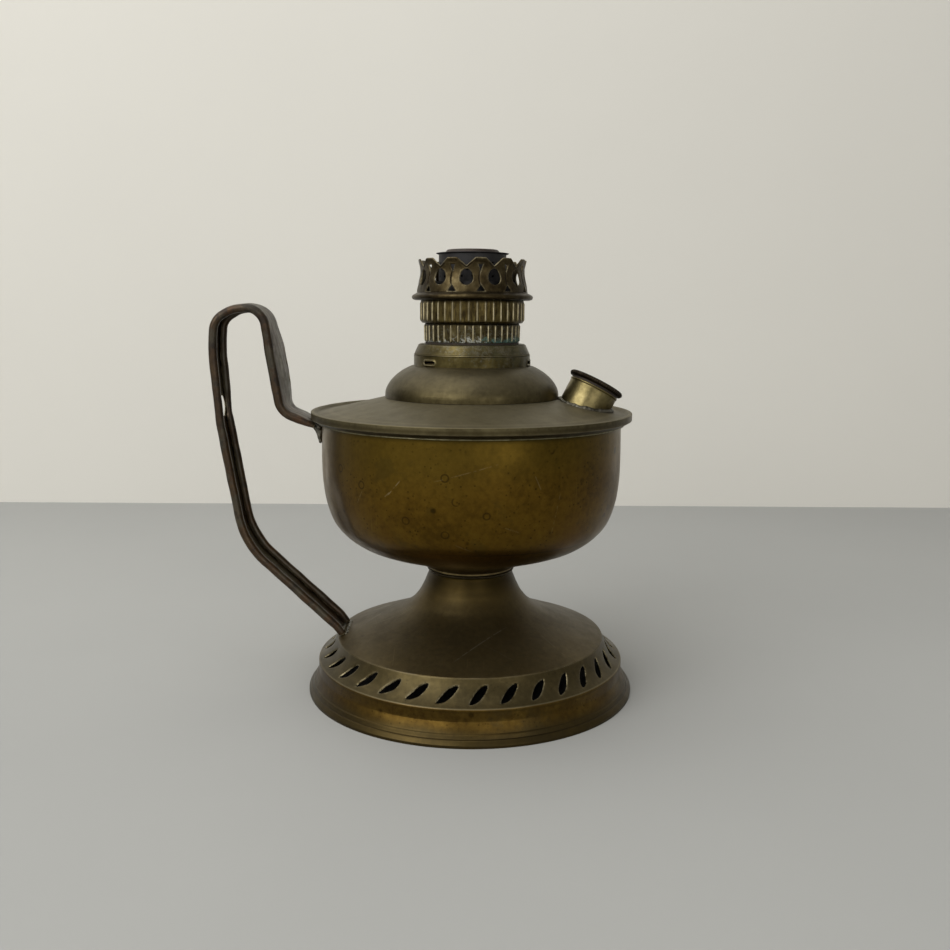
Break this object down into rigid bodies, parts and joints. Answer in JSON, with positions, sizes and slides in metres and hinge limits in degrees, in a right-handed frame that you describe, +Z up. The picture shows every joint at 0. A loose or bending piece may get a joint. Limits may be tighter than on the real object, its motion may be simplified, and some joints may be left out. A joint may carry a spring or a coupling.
{
  "type": "oil lamp",
  "caption": "Round-wick oil lamp with a pierced foot, a rounded font, a side handle of curled strip, a tilted filler and a crowned chimney gallery.",
  "frame": {"origin": "on the lamp's vertical axis, in the plane that the foot stands on", "axes": "+Z up; -X towards the handle and +X towards the filler; -Y is the side that faces the viewer with the handle on the left"},
  "size_m": [0.2127, 0.167, 0.2216],
  "materials": {
    "foot_brass": "dull tarnished spun brass, satin with fine scratches",
    "boss_brass": "dull brass",
    "bowl_brass": "aged gold-brown brass, speckled and lightly dented",
    "lid_brass": "dull satin brass",
    "dome_brass": "dull satin brass",
    "collar_brass": "dull brass",
    "inner_brass": "plain drawn brass",
    "handle_brass": "dark brown patinated brass strip",
    "solder": "soft solder, dull grey",
    "neck_brass": "dull brass, streaked with solder",
    "cap_brass": "nearly black patinated brass",
    "seal_leather": "oiled leather washer",
    "burner_brass": "dull brass with pale and blue-green deposits",
    "ring_brass": "dull brass, worn on the ribs",
    "gallery_brass": "dull heat-stained brass",
    "soot_black": "sooty black metal",
    "spreader_brown": "heat-browned black metal",
    "wick_cotton": "woven cotton wick, charred at its top edge"
  },
  "bodies": {
    "font": {"foot": "foot_brass", "lock_ring": "inner_brass", "bowl_boss": "boss_brass", "bowl": "bowl_brass", "lid": "lid_brass", "dome": "dome_brass", "collar": "collar_brass", "font_thread": "inner_brass", "draught_tube": "inner_brass", "spreader_seat": "inner_brass", "handle": "handle_brass", "handle_solder": "solder", "filler_neck": "neck_brass", "filler_solder": "solder"},
    "burner_washer": {"burner_seal": "seal_leather"},
    "burner": {"burner_body": "burner_brass", "wick_tube": "soot_black"},
    "gallery_turning": {"raiser_sleeve": "inner_brass", "air_plate": "soot_black", "gallery_ring": "ring_brass", "gallery": "gallery_brass"},
    "wick_raised": {"wick_carrier": "inner_brass", "wick": "wick_cotton"},
    "cap_washer": {"cap_seal": "seal_leather"},
    "cap": {"filler_cap": "cap_brass"},
    "spreader": {"spreader_thimble": "soot_black", "spreader_flange": "soot_black", "spreader_cap": "spreader_brown"}
  },
  "joints": [
    {"name": "burner_rise", "type": "slide", "parent": "font", "child": "burner_washer", "axis": [0, 0, 1], "range_m": [0, 0.0125]},
    {"name": "burner_unscrew", "type": "hinge", "parent": "burner_washer", "child": "burner", "pos_m": [0, 0, 0.18], "axis": [0, 0, 1], "range_deg": [0, 1800]},
    {"name": "gallery_turn", "type": "hinge", "parent": "burner", "child": "gallery_turning", "pos_m": [0, 0, 0.19], "axis": [0, 0, 1], "range_deg": [0, 288]},
    {"name": "wick_rise", "type": "slide", "parent": "burner", "child": "wick_raised", "axis": [0, 0, 1], "range_m": [0, 0.008]},
    {"name": "cap_rise", "type": "slide", "parent": "font", "child": "cap_washer", "axis": [0.4555, 0.1136, 0.8829], "range_m": [0, 0.006]},
    {"name": "cap_unscrew", "type": "hinge", "parent": "cap_washer", "child": "cap", "pos_m": [0.05628, -0.00691, 0.14618], "axis": [0.4555, 0.1136, 0.8829], "range_deg": [0, 1440]},
    {"name": "spreader_lift", "type": "slide", "parent": "font", "child": "spreader", "axis": [0, 0, 1], "range_m": [0, 0.03]}
  ],
  "couplings": [
    {"joint": "wick_rise", "follows": "gallery_turn", "m_per_rad": 0.0015915},
    {"joint": "burner_rise", "follows": "burner_unscrew", "m_per_rad": 0.00039789},
    {"joint": "cap_rise", "follows": "cap_unscrew", "m_per_rad": 0.00023873}
  ]
}
